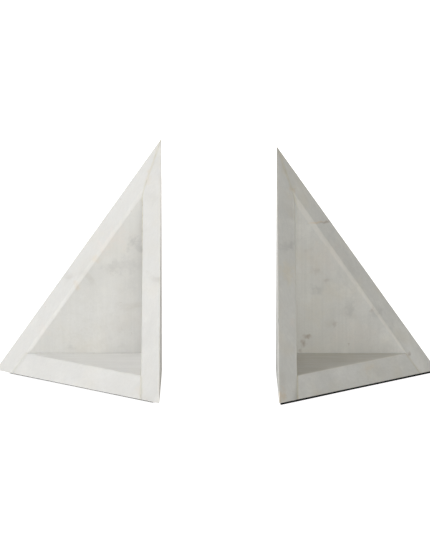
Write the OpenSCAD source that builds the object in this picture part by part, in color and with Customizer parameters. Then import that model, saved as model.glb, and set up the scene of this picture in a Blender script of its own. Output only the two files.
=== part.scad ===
// Pair of marble book ends for the two ends of a row of books.
// Each book end is the corner of a pyramid, made of three flat slabs that meet at right angles:
// a side panel that the books rest against, a back panel and a base panel between them.
// All the slabs are ground flush to one sloping plane, and the corner is open on that side.
// +Z is up, the books stand in a row along X, and the open corners face the front, -Y.
// The origin is on the shelf, in the middle of the pair. Millimetres.

/* [Left book end] */
// Width of the left book end's marble, along the shelf
left_w = 129; // [100:0.5:160]
// Height of the left book end's marble
left_h = 181; // [140:0.5:220]
// How far the left foot pad stays inside the marble's outline
left_pad_inset = 4.5; // [1:0.5:12]

/* [Right book end] */
// Width of the right book end's marble, along the shelf
right_w = 124.5; // [100:0.5:160]
// Height of the right book end's marble
right_h = 175; // [140:0.5:220]
// How far the right foot pad stays inside the marble's outline
right_pad_inset = 1; // [1:0.5:12]

/* [Both book ends] */
// Depth of the marble, from the front tip to the flat back
depth = 127; // [100:0.5:160]
// How far each sharp tip of the pyramid is ground back
tip_cut = 1; // [0.4:0.1:3]
// Space for books between the two side panels, as the pair stands
book_gap = 88.5; // [20:0.5:400]

/* [Marble slabs] */
// Thickness of the side panel, which the books rest against
side_t = 14; // [8:0.5:20]
// Thickness of the back panel
back_t = 14; // [8:0.5:20]
// Thickness of the base panel
base_t = 16; // [8:0.5:20]

/* [Epoxy joints] */
// Thickness of the epoxy film between two slabs
film_t = 0.6; // [0.2:0.1:1]
// Size of the bead of epoxy that is left in each inner corner
bead_size = 1.2; // [0.4:0.1:2]

/* [Foot pads] */
// Thickness of the foam foot pad
pad_t = 1.5; // [1:0.1:4]
// Thickness of the adhesive sheet that holds the pad
adhesive_t = 0.2; // [0.1:0.1:0.5]

/* [Hidden] */

// Outer size of each book end's marble
left_size = [left_w, depth, left_h];
right_size = [right_w, depth, right_h];

// Height of the marble's underside above the shelf
stone_z = pad_t + adhesive_t;

// The book faces, placed so that the pair as a whole is centred on the origin
pair_shift = (left_w - right_w) / 2;
left_face_x = pair_shift - book_gap / 2;
right_face_x = pair_shift + book_gap / 2;

// The mitre runs from the outer upright edge to the inner one. These are the widths that
// half of its epoxy film takes up along the back panel (x) and along the side panel (y).
mitre_length = norm([side_t, back_t]);
mitre_x = film_t * mitre_length / (2 * back_t);
mitre_y = film_t * mitre_length / (2 * side_t);

marble = [0.84, 0.84, 0.82];
epoxy = [0.85, 0.78, 0.60];
foam = [0.07, 0.07, 0.07];
adhesive = [0.80, 0.79, 0.74];

// ---- Places ----
// A book end is drawn with its outer corner at the origin, X away from the books,
// Y from the back to the front and Z up from the marble's underside.

module place_left() {
    translate([left_face_x, depth / 2, stone_z])
        rotate([0, 0, 180])
            children();
}

module place_right() {
    translate([right_face_x, depth / 2, stone_z])
        mirror([0, 1, 0])
            children();
}

// ---- Shapes shared by the slabs and the joints ----

// Everything in front of the sloping plane that a book end's slabs are ground to.
// The plane cuts the X, Y and Z axes a little beyond the size, which blunts the tips.
module beyond_slope(size) {
    inverse = [for (s = size) 1 / (s + tip_cut)];
    distance = 1 / norm(inverse);
    normal = inverse * distance;
    block = 4 * max(size);
    translate(normal * distance)
        rotate([0, acos(normal.z), atan2(normal.y, normal.x)])
            translate([-block / 2, -block / 2, 0])
                cube(block);
}

// An upright slab or film with the given outline in plan, from bottom to top, cut to the slope
module cut_to_slope(size, outline, bottom, top) {
    difference() {
        translate([0, 0, bottom])
            linear_extrude(height = top - bottom)
                polygon(outline);
        beyond_slope(size);
    }
}

// Corners of a rectangle in plan
function rectangle(x0, y0, x1, y1) = [[x0, y0], [x1, y0], [x1, y1], [x0, y1]];

// ---- Marble slabs ----

module side_panel(size) {
    outline = [[0, mitre_y], [side_t, back_t + mitre_y], [side_t, size.y], [0, size.y]];
    color(marble)
        cut_to_slope(size, outline, 0, size.z);
}

module back_panel(size) {
    outline = [[mitre_x, 0], [size.x, 0], [size.x, back_t], [side_t + mitre_x, back_t]];
    color(marble)
        cut_to_slope(size, outline, 0, size.z);
}

module base_panel(size) {
    outline = rectangle(side_t + film_t, back_t + film_t, size.x, size.y);
    color(marble)
        cut_to_slope(size, outline, 0, base_t);
}

// ---- Epoxy joints, each a film and the bead in its inner corner ----

module seam_back_side(size) {
    film = [
        [0, 0], [mitre_x, 0], [side_t + mitre_x, back_t],
        [side_t, back_t], [side_t, back_t + mitre_y], [0, mitre_y]
    ];
    bead = [[side_t, back_t], [side_t + bead_size, back_t], [side_t, back_t + bead_size]];
    color(epoxy) {
        cut_to_slope(size, film, 0, size.z);
        cut_to_slope(size, bead, base_t, size.z);
    }
}

// A three-sided bead with square legs along Z, laid down on its side by the two seams below
module bead_along_z(length) {
    linear_extrude(height = length)
        polygon([[0, 0], [bead_size, 0], [0, bead_size]]);
}

module seam_base_side(size) {
    color(epoxy) {
        cut_to_slope(size, rectangle(side_t, back_t, side_t + film_t, size.y), 0, base_t);
        difference() {
            translate([side_t, size.y, base_t])
                rotate([90, 0, 0])
                    bead_along_z(size.y - back_t - bead_size);
            beyond_slope(size);
        }
    }
}

module seam_base_back(size) {
    color(epoxy) {
        cut_to_slope(size, rectangle(side_t + film_t, back_t, size.x, back_t + film_t), 0, base_t);
        difference() {
            translate([side_t + bead_size, back_t, base_t])
                rotate([90, 0, 90])
                    bead_along_z(size.x - side_t - bead_size);
            beyond_slope(size);
        }
    }
}

// ---- Foot ----

// Outline of the marble's underside, drawn in by the same inset on all three sides
function pad_outline(size, inset) =
    let (
        reach_x = size.x + tip_cut,
        reach_y = size.y + tip_cut,
        slope_inset = inset * norm([1 / reach_x, 1 / reach_y])
    ) [
        [inset, inset],
        [reach_x * (1 - slope_inset - inset / reach_y), inset],
        [inset, reach_y * (1 - slope_inset - inset / reach_x)]
    ];

module pad_adhesive(size, inset) {
    color(adhesive)
        translate([0, 0, -adhesive_t])
            linear_extrude(height = adhesive_t)
                polygon(pad_outline(size, inset));
}

module foot_pad(size, inset) {
    color(foam)
        translate([0, 0, -stone_z])
            linear_extrude(height = pad_t)
                polygon(pad_outline(size, inset));
}

// ---- Nodes ----

place_left() side_panel(left_size);  // left_side_panel
place_left() back_panel(left_size);  // left_back_panel
place_left() base_panel(left_size);  // left_base_panel
place_left() seam_back_side(left_size);  // left_seam_back_side
place_left() seam_base_side(left_size);  // left_seam_base_side
place_left() seam_base_back(left_size);  // left_seam_base_back
place_left() foot_pad(left_size, left_pad_inset);  // left_foot_pad
place_left() pad_adhesive(left_size, left_pad_inset);  // left_pad_adhesive

place_right() side_panel(right_size);  // right_side_panel
place_right() back_panel(right_size);  // right_back_panel
place_right() base_panel(right_size);  // right_base_panel
place_right() seam_back_side(right_size);  // right_seam_back_side
place_right() seam_base_side(right_size);  // right_seam_base_side
place_right() seam_base_back(right_size);  // right_seam_base_back
place_right() foot_pad(right_size, right_pad_inset);  // right_foot_pad
place_right() pad_adhesive(right_size, right_pad_inset);  // right_pad_adhesive
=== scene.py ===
"""Looks for a pair of marble corner book ends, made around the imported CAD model.

Each CAD slab becomes a hand-finished one: its edges are eased, chipped and blunted at the tips,
and its marble has its own clouds, veins and stains. The epoxy joints get uneven beads in their
inner corners, and each foot is a sheet of cut foam on its adhesive. All lengths are in metres.
"""
import math
import random
from collections import namedtuple

import bmesh
import bpy
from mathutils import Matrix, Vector, noise


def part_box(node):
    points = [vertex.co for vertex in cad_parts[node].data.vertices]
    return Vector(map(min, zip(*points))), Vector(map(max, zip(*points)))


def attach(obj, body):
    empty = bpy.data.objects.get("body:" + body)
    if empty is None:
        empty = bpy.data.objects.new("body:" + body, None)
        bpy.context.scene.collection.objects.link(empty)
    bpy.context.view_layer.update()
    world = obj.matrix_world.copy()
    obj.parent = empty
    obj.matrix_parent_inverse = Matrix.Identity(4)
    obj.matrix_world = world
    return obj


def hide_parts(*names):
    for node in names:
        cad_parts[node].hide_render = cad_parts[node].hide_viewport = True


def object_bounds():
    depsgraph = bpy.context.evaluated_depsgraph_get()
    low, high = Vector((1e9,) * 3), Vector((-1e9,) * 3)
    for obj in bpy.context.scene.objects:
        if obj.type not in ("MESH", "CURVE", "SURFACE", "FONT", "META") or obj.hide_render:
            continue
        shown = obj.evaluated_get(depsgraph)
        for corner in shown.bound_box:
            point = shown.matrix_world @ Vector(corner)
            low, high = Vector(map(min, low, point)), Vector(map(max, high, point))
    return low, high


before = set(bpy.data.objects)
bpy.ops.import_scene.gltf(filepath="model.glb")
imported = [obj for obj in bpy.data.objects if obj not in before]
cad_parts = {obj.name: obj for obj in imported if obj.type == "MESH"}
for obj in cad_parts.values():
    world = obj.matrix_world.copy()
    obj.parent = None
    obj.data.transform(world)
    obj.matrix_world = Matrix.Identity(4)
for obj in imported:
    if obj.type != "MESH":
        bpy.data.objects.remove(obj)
cad_low, cad_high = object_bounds()

MM = 0.001

# How wide the marble's outer edges are eased
EASE_OUTER = 0.4 * MM

# How wide the chamfers around the opening are ground by hand: the back panel's and the side
# panel's, each at its top and at its lower end, and the base panel's
CHAMFER_BACK_TOP = {"left": 1.8 * MM, "right": 2.7 * MM}
CHAMFER_BACK_END = {"left": 1.6 * MM, "right": 0.9 * MM}
CHAMFER_SIDE_TOP = 1.2 * MM
CHAMFER_SIDE_END = 0.7 * MM
CHAMFER_BASE = 0.8 * MM

# How flat a chamfer is, and the length over which one that stops short runs out
CHAMFER_FLATNESS = 0.6
CHAMFER_STOP = 5 * MM

# How far an edge's cutter runs on past its two ends, at the tips and from the opening's top
PAST_TIPS = (2 * MM, 2 * MM)
PAST_TOP = (8 * MM, 0)

# The distance between a cutter's rings, and how many chips an edge has
EASE_STEP = 2.5 * MM
CHIPS_PER_METRE = 30

# How deep a stain goes into the stone, from its middle
STAIN_DEPTH = 14 * MM

# A ground or cut edge of the marble: its two ends, the outward normals of its two faces, how
# wide it is eased at each end, how flat that is from 0, rounded, to 1, how far it runs on past
# each end, and the slabs that have it
Edge = namedtuple("Edge", "start end normal_a normal_b widths flatness run_on panels")


# ---------------------------------------------------------------- the book ends' geometry

class BookEnd:
    """One book end's own directions and sizes, read from the CAD model.

    A place in it is (out, fore, up): out from the book face along the row, fore from the flat
    back towards the front, and up from the marble's underside.
    """

    def __init__(self, side):
        self.side = side
        self.body = side + "_book_end"
        self.sign = -1 if side == "left" else 1
        side_low, side_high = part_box(side + "_side_panel")
        back_low, back_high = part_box(side + "_back_panel")
        base_low, base_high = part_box(side + "_base_panel")
        face_x = side_high.x if side == "left" else side_low.x
        self.corner = Vector((face_x, back_high.y, side_low.z))
        self.side_t = side_high.x - side_low.x
        self.back_t = back_high.y - back_low.y
        self.base_t = base_high.z - base_low.z
        self.slope_normal, self.reach = self.find_slope()

    def find_slope(self):
        """The sloping plane's outward normal, and where it meets the three outer edges."""
        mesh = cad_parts[self.side + "_back_panel"].data
        slopes = [face for face in mesh.polygons if min(map(abs, face.normal)) > 0.1]
        face = max(slopes, key=lambda polygon: polygon.area)
        point = mesh.vertices[face.vertices[0]].co
        axes = (self.turn(1, 0, 0), self.turn(0, 1, 0), self.turn(0, 0, 1))
        distance = face.normal.dot(point - self.corner)
        return face.normal.copy(), [distance / face.normal.dot(axis) for axis in axes]

    def at(self, out, fore, up):
        """The place in the shared frame."""
        return self.corner + self.turn(out, fore, up)

    def turn(self, out, fore, up):
        """The direction in the shared frame."""
        return Vector((self.sign * out, -fore, up))

    def slope_out(self, fore, up):
        """How far out the slope is, at a given fore and up."""
        return self.reach[0] * (1 - fore / self.reach[1] - up / self.reach[2])

    def slope_fore(self, out, up):
        """How far fore the slope is, at a given out and up."""
        return self.reach[1] * (1 - out / self.reach[0] - up / self.reach[2])

    def slope_up(self, out, fore):
        """How high up the slope is, at a given out and fore."""
        return self.reach[2] * (1 - out / self.reach[0] - fore / self.reach[1])

    def outer_edges(self):
        """The marble edges on the outside, which are only eased."""
        corner = self.at(0, 0, 0)
        tip_out = self.at(self.reach[0], 0, 0)
        tip_fore = self.at(0, self.reach[1], 0)
        tip_up = self.at(0, 0, self.reach[2])
        book_face = self.turn(-1, 0, 0)
        flat_back = self.turn(0, -1, 0)
        underside = self.turn(0, 0, -1)
        slope = self.slope_normal
        widths = (EASE_OUTER, EASE_OUTER)
        edges = [
            (corner, tip_up, book_face, flat_back, ("side", "back")),
            (corner, tip_out, flat_back, underside, ("back",)),
            (corner, tip_fore, book_face, underside, ("side",)),
            (tip_up, tip_out, slope, flat_back, ("side", "back")),
            (tip_up, tip_fore, slope, book_face, ("side", "back")),
            (tip_out, tip_fore, slope, underside, ("side", "back", "base")),
        ]
        return [Edge(*ends, widths, 0, PAST_TIPS, panels) for *ends, panels in edges]

    def inner_edges(self):
        """The marble edges around the opening, which have a chamfer."""
        top = self.at(self.side_t, self.back_t, self.slope_up(self.side_t, self.back_t))
        far = self.at(self.slope_out(self.back_t, self.base_t), self.back_t, self.base_t)
        near = self.at(self.side_t, self.slope_fore(self.side_t, self.base_t), self.base_t)
        back_front = self.turn(0, 1, 0)
        side_inside = self.turn(1, 0, 0)
        base_top = self.turn(0, 0, 1)
        slope, flat = self.slope_normal, CHAMFER_FLATNESS
        back_widths = (CHAMFER_BACK_TOP[self.side], CHAMFER_BACK_END[self.side])
        side_widths = (CHAMFER_SIDE_TOP, CHAMFER_SIDE_END)
        base_widths = (CHAMFER_BASE, CHAMFER_BASE)
        return [
            Edge(top, far, slope, back_front, back_widths, flat, PAST_TOP, ("back",)),
            Edge(top, near, slope, side_inside, side_widths, flat, PAST_TOP, ("side",)),
            Edge(far, near, slope, base_top, base_widths, flat, PAST_TIPS, ("base",)),
        ]


# ---------------------------------------------------------------- mesh tools

def new_object(name, bm):
    """An object from a bmesh, which is used up."""
    mesh = bpy.data.meshes.new(name)
    bm.to_mesh(mesh)
    bm.free()
    made = bpy.data.objects.new(name, mesh)
    bpy.context.scene.collection.objects.link(made)
    return made


def cad_copy(node):
    """A bmesh with a CAD node's exact shape, and each flat face in one piece."""
    bm = bmesh.new()
    bm.from_mesh(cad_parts[node].data)
    bmesh.ops.remove_doubles(bm, verts=bm.verts, dist=0.001 * MM)
    bmesh.ops.dissolve_limit(bm, angle_limit=math.radians(0.5), verts=bm.verts, edges=bm.edges)
    return bm


def tube(bm, rings):
    """Faces around and between rings of points, with a cap at each end."""
    rows = [[bm.verts.new(point) for point in ring] for ring in rings]
    count = len(rows[0])
    for row, after in zip(rows, rows[1:]):
        for i in range(count):
            j = (i + 1) % count
            bm.faces.new((row[i], row[j], after[j], after[i]))
    bm.faces.new(rows[0][::-1])
    bm.faces.new(rows[-1])


def low_high(made):
    """The lowest and highest corner of an object whose mesh is in place."""
    points = [vertex.co for vertex in made.data.vertices]
    low = Vector(min(point[i] for point in points) for i in range(3))
    high = Vector(max(point[i] for point in points) for i in range(3))
    return low, high


def boxes_meet(one, other):
    """Whether two objects' boxes overlap."""
    (low, high), (other_low, other_high) = low_high(one), low_high(other)
    return all(low[i] < other_high[i] and other_low[i] < high[i] for i in range(3))


def carve(piece, cutters):
    """Takes the cutters' volume out of a piece, for good. The cut faces have the cutter's slot."""
    for cutter in cutters:
        if boxes_meet(piece, cutter):
            cut = piece.modifiers.new("carve", "BOOLEAN")
            cut.operation = "DIFFERENCE"
            cut.solver = "MANIFOLD"
            cut.object = cutter
    bpy.context.view_layer.update()
    carved = piece.evaluated_get(bpy.context.evaluated_depsgraph_get())
    mesh = bpy.data.meshes.new_from_object(carved)
    piece.modifiers.clear()
    piece.data = mesh


def finish_shading(piece, sharp_degrees=35):
    """Rounded edges shade smoothly into flat faces that stay flat."""
    for face in piece.data.polygons:
        face.use_smooth = True
    piece.data.set_sharp_from_angle(angle=math.radians(sharp_degrees))
    even = piece.modifiers.new("flat faces", "WEIGHTED_NORMAL")
    even.keep_sharp = True
    even.weight = 100


# ---------------------------------------------------------------- edges, chips and tips

def into_face(along, normal, other_normal):
    """The direction across a face, away from its edge."""
    across = along.cross(normal).normalized()
    return -across if across.dot(other_normal) > 0 else across


def eased_width(edge, reached):
    """How wide an edge is eased, some way along it. A chamfer that stops short runs out there."""
    length = (edge.end - edge.start).length
    share = min(max(reached / length, 0), 1)
    width = edge.widths[0] * (1 - share) + edge.widths[1] * share
    if edge.run_on[1] == 0:
        width *= min(1, 0.3 + 0.7 * max(length - reached, 0) / CHAMFER_STOP)
    return width


def easing_cutter(edge):
    """The space that is rubbed off an edge, a little wider in some places than in others."""
    along = (edge.end - edge.start).normalized()
    into_a = into_face(along, edge.normal_a, edge.normal_b)
    into_b = into_face(along, edge.normal_b, edge.normal_a)
    outward = (edge.normal_a + edge.normal_b).normalized()
    clear, bite, far = 0.4 * MM, 0.02 * MM, 3 * MM
    before, after = edge.run_on
    length = (edge.end - edge.start).length + before + after
    steps = round(length / EASE_STEP)
    rings = []
    for i in range(steps + 1):
        reached = length * i / steps - before
        point = edge.start + along * reached
        waver = 0.2 * noise.noise(point * 90) + 0.12 * noise.noise(point * 420)
        width = eased_width(edge, reached) * (1 + waver)
        arc = []
        for s in (0, 0.25, 0.5, 0.75, 1):
            share_a = (1 - s) ** 2 + edge.flatness * s * (1 - s)
            share_b = s ** 2 + edge.flatness * s * (1 - s)
            arc.append(point + width * (share_a * into_a + share_b * into_b) - outward * bite)
        outer_a = point + into_a * (width + clear) + edge.normal_a * clear
        outer_b = point + into_b * (width + clear) + edge.normal_b * clear
        rings.append([outer_a, *arc, outer_b, point + outward * far])
    bm = bmesh.new()
    tube(bm, rings)
    return cutter_object("easing", bm)


def stone_chip(place, radius, stretch, along, rng):
    """The space of a small broken-out chip: a lumpy ball, drawn out along the edge."""
    bm = bmesh.new()
    bmesh.ops.create_icosphere(bm, subdivisions=3, radius=1)
    turn = along.to_track_quat("X", "Z").to_matrix()
    shift = Vector((rng.uniform(0, 50), rng.uniform(0, 50), rng.uniform(0, 50)))
    for vertex in bm.verts:
        lump = 1 + 0.28 * noise.noise(vertex.co * 1.4 + shift) + 0.1 * noise.noise(vertex.co * 4 + shift)
        shaped = vertex.co * lump
        shaped.x *= stretch
        vertex.co = place + turn @ shaped * radius
    return cutter_object("chip", bm)


def edge_chips(edge, rng):
    """Chips along one edge, most of them tiny."""
    span = edge.end - edge.start
    outward = (edge.normal_a + edge.normal_b).normalized()
    chips = []
    for _ in range(round(span.length * CHIPS_PER_METRE)):
        radius = (0.35 + 0.9 * rng.random() ** 3) * MM
        depth = rng.uniform(0.15, 0.4) * radius + 0.25 * edge.widths[1]
        place = edge.start + span * rng.uniform(0.02, 0.98) + outward * (radius - depth)
        chips.append(stone_chip(place, radius, rng.uniform(1, 2), span.normalized(), rng))
    return chips


def tip_chips(end, rng):
    """The three sharp tips of the pyramid, which are the first to be knocked off."""
    tips = (
        (end.at(end.reach[0], 0, 0), end.turn(1, 0.25, 0.1), 1.6 * MM),
        (end.at(0, end.reach[1], 0), end.turn(0.2, 1, 0.1), 1.8 * MM),
        (end.at(0, 0, end.reach[2]), end.turn(0.2, 0.2, 1), 0.9 * MM),
    )
    return [
        stone_chip(tip + outward.normalized() * 0.2 * size, size, 1, outward, rng)
        for tip, outward, size in tips
    ]


def front_tip_wear(end, rng):
    """The larger damage at the front tip: ground flat on the left one, a broken edge on the right."""
    tip = end.at(0, end.reach[1], 0)
    to_far = (end.at(end.reach[0], 0, 0) - tip).normalized()
    to_top = (end.at(0, 0, end.reach[2]) - tip).normalized()
    to_back = end.turn(0, -1, 0)
    if end.side == "left":
        return flat_cutter(tip + to_far * 6.5 * MM, tip + to_top * 8 * MM, tip + to_back * 1.3 * MM)
    place = tip + to_top * 6 * MM + end.turn(-1, 0.6, 0.6).normalized() * 1.1 * MM
    return stone_chip(place, 1.9 * MM, 3, to_top, rng)


def flat_cutter(*corners):
    """The space in front of the plane through three points on the edges around a tip."""
    middle = sum(corners, Vector((0, 0, 0))) / 3
    outward = (corners[1] - corners[0]).cross(corners[2] - corners[0]).normalized()
    if outward.y > 0:
        outward = -outward
    near = [middle + (corner - middle) * 2 for corner in corners]
    bm = bmesh.new()
    tube(bm, [near, [point + outward * 10 * MM for point in near]])
    return cutter_object("flat", bm)


def cutter_object(name, bm):
    """A cutter. The faces that it cuts have the second slot's material."""
    bmesh.ops.recalc_face_normals(bm, faces=bm.faces)
    for face in bm.faces:
        face.material_index = 1
    made = new_object(name, bm)
    add_two_slots(made)
    return made


def add_two_slots(made):
    """Two empty material slots: the first for an object's own faces, the second for cut ones."""
    for _ in range(2):
        made.data.materials.append(None)


# ---------------------------------------------------------------- shader tools

class Shader:
    """Adds shader nodes to a material and joins them as it goes."""

    def __init__(self, name):
        self.material = bpy.data.materials.new(name)
        self.material.use_nodes = True
        self.tree = self.material.node_tree
        self.surface = self.tree.nodes["Principled BSDF"]
        self.position = self.add("ShaderNodeTexCoord").outputs["Object"]

    def add(self, kind, inputs=(), **settings):
        """A node with its settings. inputs go to its sockets by name or by number."""
        node = self.tree.nodes.new(kind)
        for name, value in settings.items():
            setattr(node, name, value)
        for key, value in dict(inputs).items():
            self.put(node.inputs[key], value)
        return node

    def put(self, socket, value):
        """Joins a node's output to the socket, or sets a constant on it."""
        if isinstance(value, bpy.types.NodeSocket):
            self.tree.links.new(value, socket)
        else:
            socket.default_value = value

    def vector(self, operation, a, b):
        node = self.add("ShaderNodeVectorMath", {0: a, 1: b}, operation=operation)
        return node.outputs["Value" if operation in ("DISTANCE", "DOT_PRODUCT") else "Vector"]

    def math(self, operation, a, b=0.0):
        return self.add("ShaderNodeMath", {0: a, 1: b}, operation=operation).outputs[0]

    def noise(self, place, scale, detail=3.0, roughness=0.5, distortion=0.0):
        inputs = {
            "Vector": place, "Scale": scale, "Detail": detail,
            "Roughness": roughness, "Distortion": distortion,
        }
        return self.add("ShaderNodeTexNoise", inputs).outputs["Fac"]

    def fade(self, value, start, end, low=0.0, high=1.0):
        """low where value is at start or before it, high at end or past it, smooth between."""
        inputs = {"Value": value, 1: start, 2: end, 3: low, 4: high}
        return self.add("ShaderNodeMapRange", inputs, interpolation_type="SMOOTHSTEP").outputs[0]

    def blend(self, factor, colour_a, colour_b):
        inputs = {0: factor, 6: colour_a, 7: colour_b}
        return self.add("ShaderNodeMix", inputs, data_type="RGBA").outputs[2]

    def translucent(self, weight, radius, scale):
        """Lets light under the surface. radius is how far each colour spreads, times scale."""
        self.surface.inputs["Subsurface Weight"].default_value = weight
        self.surface.inputs["Subsurface Radius"].default_value = radius
        self.surface.inputs["Subsurface Scale"].default_value = scale

    def bump(self, height, distance, strength):
        inputs = {"Height": height, "Distance": distance, "Strength": strength}
        return self.add("ShaderNodeBump", inputs).outputs["Normal"]

    def shifted(self, offset, stretch=(1, 1, 1)):
        """Object position moved and stretched, so that each slab is cut from another block."""
        moved = self.vector("ADD", self.position, offset)
        return self.vector("MULTIPLY", moved, stretch)


def grey(level, warmth=0.0):
    """A near-white or grey, with warmth taking blue out of it."""
    return level, level * (1 - 0.15 * warmth), level * (1 - warmth), 1


# ---------------------------------------------------------------- marble

MARBLE_WHITE = grey(0.73, 0.04)
MARBLE_PALE = grey(0.84, 0.05)
MARBLE_CLOUD = grey(0.60, 0.03)
MARBLE_VEIN = (0.46, 0.42, 0.36, 1)
MARBLE_GRAIN = grey(0.5)
HONING_LINE = grey(0.55, 0.03)
# The epoxy's stain in the stone, also used as painted shade on the book face
GLUE_STAIN_AND_PAINTED_SHADE = (0.63, 0.60, 0.49, 1)
# Bruised stone's paleness, also used as a painted highlight on the edges
BRUISED_AND_HIGHLIGHT = (0.95, 0.90, 0.81, 1)
GREY = grey(0.52, 0.03)
PALE = grey(0.83, 0.01)
PINK = (0.78, 0.72, 0.67, 1)
BEIGE = (0.72, 0.68, 0.59, 1)
OCHRE = (0.70, 0.54, 0.34, 1)
BROWN = (0.32, 0.24, 0.18, 1)

# A cloud or stain that shows at the front of a slab: its middle, out from the book face and up
# from the marble's underside, half its width and height, all in millimetres, then its colour and
# how strong it is
Spot = namedtuple("Spot", "out up wide high colour strength")
SPOTS = {
    ("left", "back"): [
        Spot(52, 38, 50, 26, PALE, 0.28),
        Spot(21, 101, 6, 6, GREY, 0.60), Spot(16, 97, 3, 4, GREY, 0.60),
        Spot(27, 85, 15, 7, GREY, 0.32), Spot(38, 84, 8, 5, GREY, 0.40),
        Spot(26, 69, 8, 6, GREY, 0.16), Spot(57, 73, 6, 4, GREY, 0.14), Spot(73, 74, 5, 4, GREY, 0.14),
        Spot(70, 20, 5, 2, GREY, 0.35), Spot(31, 21, 5, 2, GREY, 0.20),
        Spot(34, 107, 10, 8, PINK, 0.45), Spot(44, 98, 7, 6, PINK, 0.50), Spot(91, 33, 6, 6, PINK, 0.40),
        Spot(51, 90, 4, 3, OCHRE, 0.22), Spot(65, 69, 3, 3, OCHRE, 0.25),
        Spot(9, 154, 3, 6, OCHRE, 0.22),
    ],
    ("left", "side"): [
        Spot(3, 166, 6, 9, GREY, 0.14), Spot(1, 154, 4, 12, GREY, 0.20), Spot(7, 139, 9, 7, GREY, 0.16),
        Spot(0, 180, 3, 3, GREY, 0.70), Spot(11, 152, 3, 6, OCHRE, 0.22),
    ],
    ("left", "base"): [
        Spot(55, 8, 80, 16, PALE, 0.22), Spot(60, 8, 20, 5, GREY, 0.06), Spot(15, 5, 3, 5, OCHRE, 0.12),
    ],
    ("right", "back"): [
        Spot(25, 97, 3, 3, BROWN, 0.14), Spot(30, 81, 4, 3, BROWN, 0.22),
        Spot(39, 73, 2.5, 1.5, BROWN, 0.30),
        Spot(31, 66, 5, 4, GREY, 0.60), Spot(45, 39, 2, 2, BROWN, 0.35), Spot(56, 51, 4, 8, GREY, 0.55),
        Spot(77, 47, 5, 4, GREY, 0.65), Spot(74, 50, 2, 2, BROWN, 0.35), Spot(87, 21, 7, 4, GREY, 0.30),
        Spot(21, 24, 2, 3.5, BROWN, 0.60), Spot(24, 29, 3.5, 1.6, BROWN, 0.60),
        Spot(19, 18, 1.5, 2.5, BROWN, 0.35), Spot(38, 90, 18, 14, PINK, 0.35),
        Spot(60, 30, 20, 10, PINK, 0.30), Spot(30, 50, 10, 16, BEIGE, 0.30),
        Spot(38, 117, 7, 0.9, BROWN, 0.55), Spot(12, 143, 2.5, 3, OCHRE, 0.45),
        Spot(103, 15, 1.5, 1.5, BROWN, 0.6),
        Spot(4, 169, 4, 5, BEIGE, 0.60), Spot(48, 60, 90, 110, MARBLE_CLOUD, 0.20),
        Spot(35, 106, 14, 26, GREY, 0.18), Spot(56, 73, 14, 24, GREY, 0.22),
        Spot(77, 41, 14, 22, GREY, 0.22),
        Spot(31, 117.6, 7, 0.8, OCHRE, 0.50),
    ],
    ("right", "side"): [
        Spot(7, 104, 7, 3.5, GREY, 0.45), Spot(11, 105, 3.5, 3, GREY, 0.60),
        Spot(8, 86, 6, 8, BEIGE, 0.80),
        Spot(6, 125, 8, 20, GREY, 0.16), Spot(6, 159, 3, 6, BEIGE, 0.60), Spot(11, 52, 3, 3, PINK, 0.40),
        Spot(12, 145, 2, 3, OCHRE, 0.40), Spot(2, 4, 4, 6, OCHRE, 0.45), Spot(9, 15, 6, 5, GREY, 0.14),
    ],
    ("right", "base"): [
        Spot(55, 8, 80, 16, PALE, 0.35),
        Spot(70, 12, 5, 3, OCHRE, 0.18), Spot(78, 8, 8, 4, GREY, 0.22), Spot(40, 8, 14, 5, GREY, 0.10),
        Spot(96, 10, 6, 4, GREY, 0.16),
    ],
}

# A glued joint: a point on it, its normal, the height above which the faces are free, how strongly the
# epoxy has stained the stone along it, and the plane, as a point and a normal, that the stain stays near.
# The book face is given as a joint too, and its darkening is painted shade.
Joint = namedtuple("Joint", "point normal top stain near")

# What a slab's marble is made with: where in the block it was cut, how mottled it is, which way it was
# honed, its glued joints, its spots, each with its place, and the tone painted on its top with how strong
# it is, which is painted light on the left book end's base and painted shade on the right one's
Finish = namedtuple("Finish", "offset mottled honing joints spots slurry haze")

# How strongly the glue has stained the marble, and how much of it has yellowed
GLUE_STAINING = {"left": 0.5, "right": 0.6}
GLUE_AGED = {"left": 0.15, "right": 0.4}

# How strongly the book face is darkened with the glue's stain colour, as painted shade: strongly on the
# left book end, whose book face is turned away from the lights, faintly on the right one
BOOK_FACE_PAINTED_SHADE = {"left": 0.45, "right": 0.1}

# How close each joint's glue is to the marble's own white, and at least how close the beads are
GLUE_PALE = {
    "left": {"back_side": 0.25, "base_side": 0.4, "base_back": 0.85},
    "right": {"back_side": 0.2, "base_side": 0.0, "base_back": 0.2},
}
BEAD_PALE = {"left": 0.25, "right": 0.95}

# The tone painted in streaks on the top of the base panel, and how strong it is: pale on the left, as
# painted light, and dark on the right, as painted shade
BASE_TOP_PAINTED_TONE = {"left": (0.89, 0.88, 0.86, 1), "right": (0.50, 0.445, 0.335, 1)}
BASE_TOP_PAINTED_AMOUNT = {"left": 0.5, "right": 0.45}

# How cloudy and mottled each book end's marble is
MOTTLED = {"left": 1.0, "right": 1.7}

# How bruised and pale the ground and chipped edges are, which is also a painted highlight along them,
# most of all on the right book end
EDGE_WORN_AND_HIGHLIGHT = {"left": 0.05, "right": 0.18}

# Stretches that draw fine honing lines out along a slab's face, and the painted light and shade on a base
# top into streaks
HONED_UPRIGHT = (1, 1, 0.03)
HONED_FLAT = (0.03, 1, 1)
PAINTED_TOP_STREAKS = (0.08, 1, 1)


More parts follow.
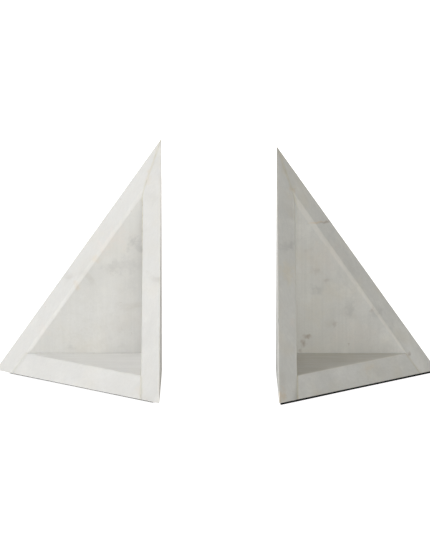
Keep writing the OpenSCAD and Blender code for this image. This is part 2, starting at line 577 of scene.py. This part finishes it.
def marble_material(name, finish, worn_and_highlight=0.0):
    """Honed white marble with its own stains. worn is how bruised and pale it is, up to 1, partly real
    wear and partly a painted highlight on the edges.
    """
    shader = Shader(name)
    place = shader.shifted(finish.offset)
    colour = marble_colour(shader, place, finish.mottled)
    inputs = {"Vector": shader.position, "Scale": 210.0, "Detail": 6.0, "Roughness": 0.65}
    ripple = shader.add("ShaderNodeTexNoise", inputs).outputs["Color"]
    wandering = shader.vector("SUBTRACT", ripple, (0.5, 0.5, 0.5))
    for middle, spot in finish.spots:
        colour = stained(shader, colour, middle, spot, wandering)
    for joint in finish.joints:
        colour = glue_stain_and_painted_shade(shader, colour, joint)
    # Painted light on the left base top, painted shade on the right one
    if finish.haze:
        colour = painted_top_light_and_shade(shader, colour, finish)
    lines = shader.noise(shader.shifted(finish.offset, finish.honing), 480, detail=3)
    colour = shader.blend(shader.fade(lines, 0.3, 0.7, 0, 0.1 * finish.mottled), colour, HONING_LINE)
    # Real bruising on the edges, and a painted highlight along them
    colour = shader.blend(worn_and_highlight, colour, BRUISED_AND_HIGHLIGHT)
    shader.put(shader.surface.inputs["Base Color"], colour)

    smoothness = shader.noise(place, 60, detail=4)
    rough = shader.fade(smoothness, 0.3, 0.7, 0.34, 0.46)
    rough = shader.math("ADD", rough, 0.3 * worn_and_highlight)
    shader.put(shader.surface.inputs["Roughness"], rough)
    shader.surface.inputs["Specular IOR Level"].default_value = 0.4
    shader.translucent(0.12, (1.0, 0.9, 0.75), 2.0 * MM)

    grain = shader.noise(place, 2200, detail=2)
    waves = shader.noise(place, 45, detail=2)
    grain = shader.math("MULTIPLY", grain, 0.04)
    waves = shader.math("MULTIPLY", waves, 0.6)
    height = shader.math("ADD", grain, waves)
    height = shader.math("ADD", height, shader.math("MULTIPLY", lines, 0.05))
    shader.put(shader.surface.inputs["Normal"], shader.bump(height, 0.12 * MM, 0.35 + 0.5 * worn_and_highlight))
    return shader.material


def marble_colour(shader, place, mottled):
    """The stone itself: white with soft clouds, warmer parts, thin veins, specks and a sugary grain."""
    clouds = shader.noise(place, 24, detail=6, roughness=0.6, distortion=0.5)
    colour = shader.blend(shader.fade(clouds, 0.42, 0.8, 0, 0.32 * mottled), MARBLE_WHITE, MARBLE_CLOUD)

    warm = shader.noise(shader.vector("ADD", place, (7, 4, 9)), 34, detail=4)
    colour = shader.blend(shader.fade(warm, 0.48, 0.75, 0, 0.3 * mottled), colour, BEIGE)
    pale = shader.noise(shader.vector("ADD", place, (1, 8, 5)), 52, detail=5, roughness=0.6)
    colour = shader.blend(shader.fade(pale, 0.5, 0.72, 0, 0.28 * mottled), colour, MARBLE_PALE)

    inputs = {"Vector": place, "Scale": 3.2, "Distortion": 7.0, "Detail": 4.0, "Detail Scale": 2.2}
    bands = shader.add("ShaderNodeTexWave", inputs, bands_direction="DIAGONAL").outputs["Fac"]
    broken = shader.noise(shader.vector("ADD", place, (5, 8, 3)), 28, detail=3)
    vein = shader.math("MULTIPLY", shader.fade(bands, 0.985, 1), shader.fade(broken, 0.5, 0.68, 0, 0.28))
    colour = shader.blend(vein, colour, MARBLE_VEIN)

    dots = shader.noise(shader.vector("ADD", place, (2, 6, 1)), 210, detail=2)
    colour = shader.blend(shader.fade(dots, 0.735, 0.82, 0, 0.35), colour, BROWN)
    grain = shader.noise(place, 900, detail=2)
    return shader.blend(shader.fade(grain, 0.35, 0.65, 0, 0.05), colour, MARBLE_GRAIN)


def stained(shader, colour, middle, spot, wandering):
    """The colour with one soft, uneven stain laid over it."""
    reach = 4 * min(spot.wide, spot.high) * MM
    moved = shader.vector("ADD", shader.position, shader.vector("MULTIPLY", wandering, (reach,) * 3))
    offset = shader.vector("SUBTRACT", moved, tuple(middle))
    size = (spot.wide * MM, STAIN_DEPTH, spot.high * MM)
    distance = shader.vector("DISTANCE", shader.vector("DIVIDE", offset, size), (0, 0, 0))
    return shader.blend(shader.fade(distance, 1.35, 0, 0, spot.strength), colour, spot.colour)


def painted_top_light_and_shade(shader, colour, finish):
    """The colour with a streaky painted tone on the top of a base panel: painted light on the left book
    end, painted shade on the right one.
    """
    height = shader.add("ShaderNodeSeparateXYZ", {0: shader.position}).outputs["Z"]
    top = finish.joints[0].top
    streaks = shader.shifted(finish.offset, PAINTED_TOP_STREAKS)
    streaks = shader.noise(streaks, 260, detail=4, roughness=0.6)
    painted_top_mask = shader.fade(streaks, 0.3, 0.7, 0.5 * finish.haze, finish.haze)
    painted_top_mask = shader.math("MULTIPLY", painted_top_mask, shader.fade(height, top - 0.4 * MM, top - 0.1 * MM))
    return shader.blend(painted_top_mask, colour, finish.slurry)


def glue_stain_and_painted_shade(shader, colour, joint):
    """The colour with the epoxy that has soaked into the stone on both sides of a joint, and with painted
    shade on the book face, which is given as a joint.
    """
    offset = shader.vector("SUBTRACT", shader.position, tuple(joint.point))
    distance = shader.math("ABSOLUTE", shader.vector("DOT_PRODUCT", offset, tuple(joint.normal)))
    uneven = shader.noise(shader.position, 110, detail=3)
    reach = shader.fade(uneven, 0.35, 0.65, 1.0 * MM, 2.2 * MM)
    # A glue stain along a real joint, and painted shade on the book face
    glue_and_shade_mask = shader.fade(shader.math("DIVIDE", distance, reach), 1.3, 0, 0, joint.stain)
    if joint.top is not None:
        height = shader.add("ShaderNodeSeparateXYZ", {0: shader.position}).outputs["Z"]
        below_top = shader.fade(height, joint.top + 0.5 * MM, joint.top, 0, 1)
        glue_and_shade_mask = shader.math("MULTIPLY", glue_and_shade_mask, below_top)
    if joint.near is not None:
        point, normal = joint.near
        offset = shader.vector("SUBTRACT", shader.position, tuple(point))
        beyond = shader.vector("DOT_PRODUCT", offset, tuple(normal))
        at_slope = shader.fade(beyond, -5 * MM, -2 * MM, 0.25, 1)
        glue_and_shade_mask = shader.math("MULTIPLY", glue_and_shade_mask, at_slope)
    return shader.blend(glue_and_shade_mask, colour, GLUE_STAIN_AND_PAINTED_SHADE)


# ---------------------------------------------------------------- other materials

EPOXY_AMBER = (0.62, 0.585, 0.48, 1)
EPOXY_DUSTY = (0.72, 0.69, 0.60, 1)
EPOXY_YELLOWED = (0.50, 0.40, 0.26, 1)
FOAM_BLACK = (0.004, 0.004, 0.005, 1)
FOAM_DUST = (0.035, 0.033, 0.030, 1)
ADHESIVE_CLEAR = (0.055, 0.050, 0.040, 1)
ADHESIVE_CLOUDY = (0.11, 0.10, 0.085, 1)
ADHESIVE_BUBBLE = (0.25, 0.24, 0.22, 1)


def epoxy_material(name, yellowed, pale):
    """Cured amber epoxy, yellowed in patches. pale is how close it is to the marble's own white."""
    shader = Shader(name)
    dust = shader.noise(shader.position, 260, detail=5, roughness=0.6)
    colour = shader.blend(shader.fade(dust, 0.35, 0.65), EPOXY_AMBER, EPOXY_DUSTY)
    aged = shader.noise(shader.position, 70, detail=2)
    colour = shader.blend(shader.fade(aged, 0.48, 0.72, 0, yellowed), colour, EPOXY_YELLOWED)
    colour = shader.blend(pale, colour, MARBLE_WHITE)
    shader.put(shader.surface.inputs["Base Color"], colour)
    shader.put(shader.surface.inputs["Roughness"], shader.fade(dust, 0.3, 0.7, 0.22, 0.5))
    shader.translucent(0.2, (1.0, 0.8, 0.5), 0.8 * MM)
    shader.put(shader.surface.inputs["Normal"], shader.bump(dust, 0.1 * MM, 0.5))
    return shader.material


def foam_material(name):
    """Black closed-cell foam, with its fine cells and a little grey dust."""
    shader = Shader(name)
    inputs = {"Vector": shader.position, "Scale": 2600.0}
    cells = shader.add("ShaderNodeTexVoronoi", inputs).outputs["Distance"]
    dust = shader.noise(shader.position, 320, detail=5, roughness=0.65)
    colour = shader.blend(shader.fade(dust, 0.5, 0.8, 0, 0.5), FOAM_BLACK, FOAM_DUST)
    shader.put(shader.surface.inputs["Base Color"], colour)
    shader.put(shader.surface.inputs["Roughness"], shader.fade(dust, 0.3, 0.7, 0.78, 0.92))
    shader.surface.inputs["Specular IOR Level"].default_value = 0.25
    shader.put(shader.surface.inputs["Normal"], shader.bump(cells, 0.15 * MM, 0.8))
    return shader.material


def adhesive_material(name):
    """The clear film of a self-adhesive sheet, dark against the foam, with a few air bubbles."""
    shader = Shader(name)
    inputs = {"Vector": shader.position, "Scale": 420.0}
    bubbles = shader.add("ShaderNodeTexVoronoi", inputs).outputs["Distance"]
    cloudy = shader.noise(shader.position, 90, detail=4)
    colour = shader.blend(shader.fade(cloudy, 0.35, 0.7), ADHESIVE_CLEAR, ADHESIVE_CLOUDY)
    colour = shader.blend(shader.fade(bubbles, 0.12, 0.05, 0, 0.6), colour, ADHESIVE_BUBBLE)
    shader.put(shader.surface.inputs["Base Color"], colour)
    shader.put(shader.surface.inputs["Roughness"], shader.fade(cloudy, 0.3, 0.7, 0.3, 0.5))
    shader.put(shader.surface.inputs["Normal"], shader.bump(bubbles, 0.05 * MM, 0.4))
    return shader.material


# ---------------------------------------------------------------- sub-parts

# How far from the inmost corner the glue has pooled, which makes the beads thicker there
GLUE_POOL = 22 * MM

# The distance between a bead's rings, and how far its root is sunk into the film
BEAD_STEP = 1.2 * MM
BEAD_ROOT = 0.05 * MM

# How far a cut pad's corners are rounded, and the distance between its outline's points
PAD_CORNER = 1.5 * MM
PAD_STEP = 2 * MM

# A sheet's layers: how high up in it each one is, from 0 to 1, and how far it is drawn in
FOAM_LAYERS = ((0, 0.3 * MM), (0.12, 0.08 * MM), (0.5, 0), (0.88, 0.06 * MM), (1, 0.2 * MM))
ADHESIVE_LAYERS = ((0, 0.1 * MM), (1, 0.1 * MM))


def settle(piece, end, node, materials):
    """Puts a finished piece in its CAD node's place, on its body."""
    slots = piece.data.materials
    for i, material in enumerate(materials):
        if i < len(slots):
            slots[i] = material
        else:
            slots.append(material)
    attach(piece, end.body)
    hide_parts(node)


def make_slab(end, panel, cutters, joints, offset):
    """One marble slab with its worn edges. panel is side, back or base."""
    node = f"{end.side}_{panel}_panel"
    piece = new_object(node + "_marble", cad_copy(node))
    add_two_slots(piece)
    carve(piece, cutters)
    finish_shading(piece)
    spots = [(front_of(end, panel, spot), spot) for spot in SPOTS[end.side, panel]]
    honing = HONED_FLAT if panel == "base" else HONED_UPRIGHT
    # The base top's painted light on the left book end and painted shade on the right one
    haze = BASE_TOP_PAINTED_AMOUNT[end.side] if panel == "base" else 0
    slurry = BASE_TOP_PAINTED_TONE[end.side]
    finish = Finish(offset, MOTTLED[end.side], honing, joints, spots, slurry, haze)
    honed = marble_material(f"marble_{end.side}_{panel}", finish)
    # The ground and chipped edges: worn, and with a painted highlight
    worn_and_highlight = marble_material(f"marble_edge_{end.side}_{panel}", finish, EDGE_WORN_AND_HIGHLIGHT[end.side])
    settle(piece, end, node, [honed, worn_and_highlight])


def front_of(end, panel, spot):
    """The middle of a spot, on the sloping face or else on the back panel's front face."""
    fore = end.slope_fore(spot.out * MM, spot.up * MM)
    if panel == "back":
        fore = min(fore, end.back_t)
    return end.at(spot.out * MM, fore, spot.up * MM)


def add_bead(bm, end, start, stop, leg_a, leg_b, size, seed):
    """A bead of epoxy along an inner corner, thick and thin by turns, ground off at the slope."""
    along = (stop - start).normalized()
    length = (stop - start).length
    steps = round(length / BEAD_STEP)
    rings = []
    for i in range(steps + 1):
        point = start + along * (length * i / steps)
        swell = noise.noise(point * 55 + Vector((seed, 0, 0))) + 0.5 * noise.noise(point * 260)
        pooled = 1 + max(0, 1 - length * i / steps / GLUE_POOL)
        leg = size * pooled * max(0.35, 1 + 0.7 * swell)
        lean = 1 + 0.25 * noise.noise(point * 90 + Vector((0, seed, 0)))
        root = point - (leg_a + leg_b) * BEAD_ROOT
        ring = [
            root,
            point + leg_a * leg * lean,
            point + leg_a * leg * 0.58 * lean + leg_b * leg * 0.16,
            point + (leg_a + leg_b) * leg * 0.33,
            point + leg_a * leg * 0.16 + leg_b * leg * 0.58,
            point + leg_b * leg,
        ]
        rings.append([below_slope(end, corner, along) for corner in ring])
    tube(bm, rings)


def below_slope(end, point, along):
    """The point, or where its line along the bead leaves the marble if it is past there."""
    over = end.slope_normal.dot(point - end.at(end.reach[0], 0, 0))
    if over <= 0:
        return point
    return point - along * (over / end.slope_normal.dot(along))


def corner_box(end):
    """The open corner's space, which takes the plain beads of the CAD off the joint films."""
    size = 0.3
    bm = bmesh.new()
    bmesh.ops.create_cube(bm, size=size)
    middle = end.at(end.side_t + size / 2, end.back_t + size / 2, end.base_t + size / 2)
    bmesh.ops.translate(bm, verts=bm.verts, vec=middle)
    return cutter_object("corner", bm)


def make_seam(end, name, film_cutters, bead_cutters, bead, epoxies):
    """One glued joint: its film, cut flush with the slabs, and the bead in its inner corner.

    epoxies are the film's material and the bead's.
    """
    node = f"{end.side}_seam_{name}"
    piece = new_object(node + "_epoxy", cad_copy(node))
    carve(piece, film_cutters)
    bm = bmesh.new()
    add_bead(bm, end, **bead)
    bmesh.ops.recalc_face_normals(bm, faces=bm.faces)
    glue = new_object("bead", bm)
    carve(glue, bead_cutters)
    bm = bmesh.new()
    bm.from_mesh(piece.data)
    film_faces = len(bm.faces)
    bm.from_mesh(glue.data)
    for i, face in enumerate(bm.faces):
        face.material_index = int(i >= film_faces)
    bm.to_mesh(piece.data)
    bm.free()
    bpy.data.objects.remove(glue)
    finish_shading(piece)
    settle(piece, end, node, epoxies)


def seam_beads(end):
    """Where each joint's bead runs, and how thick it is."""
    corner = end.at(end.side_t, end.back_t, end.base_t)
    top = end.at(end.side_t, end.back_t, end.slope_up(end.side_t, end.back_t) + 2 * MM)
    far = end.at(end.slope_out(end.back_t, end.base_t) + 2 * MM, end.back_t, end.base_t)
    near = end.at(end.side_t, end.slope_fore(end.side_t, end.base_t) + 2 * MM, end.base_t)
    out, fore, up = end.turn(1, 0, 0), end.turn(0, 1, 0), end.turn(0, 0, 1)
    seed = 3 if end.side == "left" else 11
    return {
        "back_side": dict(start=corner, stop=top, leg_a=out, leg_b=fore, size=1.0 * MM, seed=seed),
        "base_side": dict(start=corner, stop=near, leg_a=out, leg_b=up, size=0.5 * MM, seed=seed + 1),
        "base_back": dict(start=corner, stop=far, leg_a=fore, leg_b=up, size=0.4 * MM, seed=seed + 2),
    }


def pad_outline(corners, inset, waver):
    """A three-cornered outline cut by hand: rounded corners and slightly wandering sides."""
    middle = sum(corners, Vector((0, 0, 0))) / 3
    outline = []
    for i, corner in enumerate(corners):
        before, after = corners[i - 1], corners[(i + 1) % 3]
        to_before, to_after = (before - corner).normalized(), (after - corner).normalized()
        for s in (0, 0.25, 0.5, 0.75, 1):
            outline.append(corner + PAD_CORNER * ((1 - s) ** 2 * to_before + s ** 2 * to_after))
        length = (after - corner).length - 2 * PAD_CORNER
        steps = round(length / PAD_STEP)
        for k in range(1, steps):
            outline.append(corner + to_after * (PAD_CORNER + length * k / steps))
    drawn = []
    for point in outline:
        inward = (middle - point).normalized()
        drawn.append(point + inward * (inset + waver * (0.5 + 0.5 * noise.noise(point * 90))))
    return drawn


def make_sheet(end, node, name, material, layers, waver):
    """A cut sheet under the marble. layers are its heights, and how far each is drawn in."""
    low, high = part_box(node)
    near_x, far_x = (high.x, low.x) if end.side == "left" else (low.x, high.x)
    corners = [
        Vector((near_x, high.y, 0)),
        Vector((far_x, high.y, 0)),
        Vector((near_x, low.y, 0)),
    ]
    rings = []
    for share, inset in layers:
        height = low.z + (high.z - low.z) * share
        ring = pad_outline(corners, inset, waver)
        rings.append([point + Vector((0, 0, height)) for point in ring])
    bm = bmesh.new()
    tube(bm, rings)
    bmesh.ops.recalc_face_normals(bm, faces=bm.faces)
    piece = new_object(name, bm)
    finish_shading(piece, 50)
    settle(piece, end, node, [material])
    return piece


# ---------------------------------------------------------------- one book end

def slab_joints(end):
    """The joints that each slab is stained along. The book face counts as one, and the darkening along it
    is painted shade.
    """
    mitre = end.turn(end.back_t, -end.side_t, 0).normalized()
    base_top = end.corner.z + end.base_t
    stain = GLUE_STAINING[end.side]
    slope = (end.at(end.reach[0], 0, 0), end.slope_normal)
    back_side = Joint(end.at(0, 0, 0), mitre, None, stain, slope)
    base_side = Joint(end.at(end.side_t, 0, 0), end.turn(1, 0, 0), base_top, stain, None)
    base_back = Joint(end.at(0, end.back_t, 0), end.turn(0, 1, 0), base_top, 0.5 * stain, None)
    # Painted shade: the book face is darkened as if it were a glued joint
    book_face = Joint(end.at(-0.8 * MM, 0, 0), end.turn(1, 0, 0), None, BOOK_FACE_PAINTED_SHADE[end.side], None)
    return {
        "side": [back_side, base_side, book_face],
        "back": [back_side, base_back],
        "base": [base_side, base_back],
    }


def make_book_end(side, offsets):
    """All the pieces of one book end."""
    end = BookEnd(side)
    rng = random.Random(side)
    outer_edges, inner_edges = end.outer_edges(), end.inner_edges()
    outer = [(edge, easing_cutter(edge)) for edge in outer_edges]
    inner = [(edge, easing_cutter(edge)) for edge in inner_edges]
    chips = [chip for edge in outer_edges + inner_edges for chip in edge_chips(edge, rng)]
    chips += tip_chips(end, rng) + [front_tip_wear(end, rng)]
    joints = slab_joints(end)
    for panel in ("side", "back", "base"):
        own = [cutter for edge, cutter in outer + inner if panel in edge.panels]
        make_slab(end, panel, own + chips, joints[panel], offsets[panel])

    lips = [cutter for _, cutter in inner]
    cutters = [cutter for _, cutter in outer] + chips + lips
    make_glue(end, cutters, lips)
    make_foot(end)
    for cutter in cutters:
        bpy.data.objects.remove(cutter)


def make_glue(end, cutters, lips):
    """The three glued joints. lips are the cutters of the edges around the opening."""
    side = end.side
    corner = corner_box(end)
    for name, bead in seam_beads(end).items():
        film_epoxy = epoxy_material(f"epoxy_{side}_{name}", GLUE_AGED[side], GLUE_PALE[side][name])
        bead_pale = max(BEAD_PALE[side], GLUE_PALE[side][name])
        bead_epoxy = epoxy_material(f"epoxy_bead_{side}_{name}", GLUE_AGED[side], bead_pale)
        make_seam(end, name, cutters + [corner], lips, bead, [film_epoxy, bead_epoxy])
    bpy.data.objects.remove(corner)


def make_foot(end):
    """The foam foot pad and the adhesive sheet that holds it to the marble."""
    side = end.side
    foot = make_sheet(
        end, side + "_foot_pad", side + "_foam_foot",
        foam_material("foam_" + side), FOAM_LAYERS, 0.25 * MM,
    )
    make_sheet(
        end, side + "_pad_adhesive", side + "_foot_adhesive",
        adhesive_material("adhesive_" + side), ADHESIVE_LAYERS, 0.5 * MM,
    )


# ---------------------------------------------------------------- studio

def make_camera():
    """A long lens, a little above the book ends and looking slightly down at them."""
    distance, rise, aside, down = 2.5, 0.498, -0.00085, 0.165
    camera = bpy.data.objects.new("camera", bpy.data.cameras.new("camera"))
    camera.data.sensor_width = 36
    camera.data.lens = 219.4
    camera.data.clip_start, camera.data.clip_end = 0.1, 50
    camera.location = (aside, cad_high.y - distance, rise)
    camera.rotation_euler = (math.pi / 2 - down, 0, 0)
    bpy.context.scene.collection.objects.link(camera)
    bpy.context.scene.camera = camera


def make_softbox(name, place, size, watts, colour):
    """A large soft light that faces the book ends."""
    light = bpy.data.lights.new(name, "AREA")
    light.shape = "SQUARE"
    light.color = colour
    light.size = size
    light.energy = watts
    made = bpy.data.objects.new(name, light)
    made.location = place
    made.rotation_euler = (from_middle(0, 0, 0) - place).to_track_quat("-Z", "Y").to_euler()
    bpy.context.scene.collection.objects.link(made)


def from_middle(azimuth, elevation, distance):
    """A place around the book ends. Azimuth is in degrees from the front, -Y, towards -X."""
    turn, lift = math.radians(azimuth), math.radians(elevation)
    flat = math.cos(lift)
    ahead = Vector((-math.sin(turn) * flat, -math.cos(turn) * flat, math.sin(lift)))
    middle = Vector((0, 0, cad_high.z * 0.4))
    return middle + distance * ahead


def make_floor():
    """A plain floor that is bright enough to look white, without lighting the book ends more."""
    bm = bmesh.new()
    bmesh.ops.create_grid(bm, x_segments=8, y_segments=8, size=12)
    floor = new_object("floor", bm)
    floor.location.z = cad_low.z - 0.05 * MM
    shader = Shader("floor")
    shader.surface.inputs["Base Color"].default_value = (0.84, 0.84, 0.84, 1)
    shader.surface.inputs["Roughness"].default_value = 0.9
    shader.surface.inputs["Specular IOR Level"].default_value = 0.1
    shader.surface.inputs["Emission Color"].default_value = (1, 1, 1, 1)
    seen = shader.add("ShaderNodeLightPath").outputs["Is Camera Ray"]
    shader.put(shader.surface.inputs["Emission Strength"], shader.math("MULTIPLY", seen, 0.85))
    floor.data.materials.append(shader.material)


def make_lights():
    """Two cooler lights from the left, warmer ones from the front and the rear, and a pale room."""
    cool = (0.97, 0.971, 1.0)
    make_softbox("key", from_middle(60, 10, 2.3), 1.2, 21.5, cool)
    make_softbox("high", from_middle(90, 50, 2.3), 1.2, 15.5, cool)
    make_softbox("front", from_middle(-11, 11, 3.2), 1.8, 31.5, (1.0, 0.993, 0.94))
    make_softbox("rear", from_middle(180, 25, 2.3), 1.2, 16, (1.0, 0.993, 0.95))
    world = bpy.data.worlds.new("room")
    world.use_nodes = True
    room = world.node_tree.nodes["Background"]
    room.inputs["Color"].default_value = (1.0, 0.994, 0.95, 1)
    room.inputs["Strength"].default_value = 0.316
    bpy.context.scene.world = world
    bpy.context.scene.view_settings.view_transform = "Standard"


# ---------------------------------------------------------------- the scene

# Where in the block each slab's marble is cut from
SLAB_OFFSETS = {
    "left": {"side": (0.3, 0.1, 0.2), "back": (1.1, 0.4, 0.7), "base": (2.3, 1.2, 0.5)},
    "right": {"side": (3.1, 0.9, 1.4), "back": (4.2, 2.1, 0.3), "base": (5.4, 1.7, 2.2)},
}

make_camera()
for each_side, side_offsets in SLAB_OFFSETS.items():
    make_book_end(each_side, side_offsets)
make_floor()
make_lights()
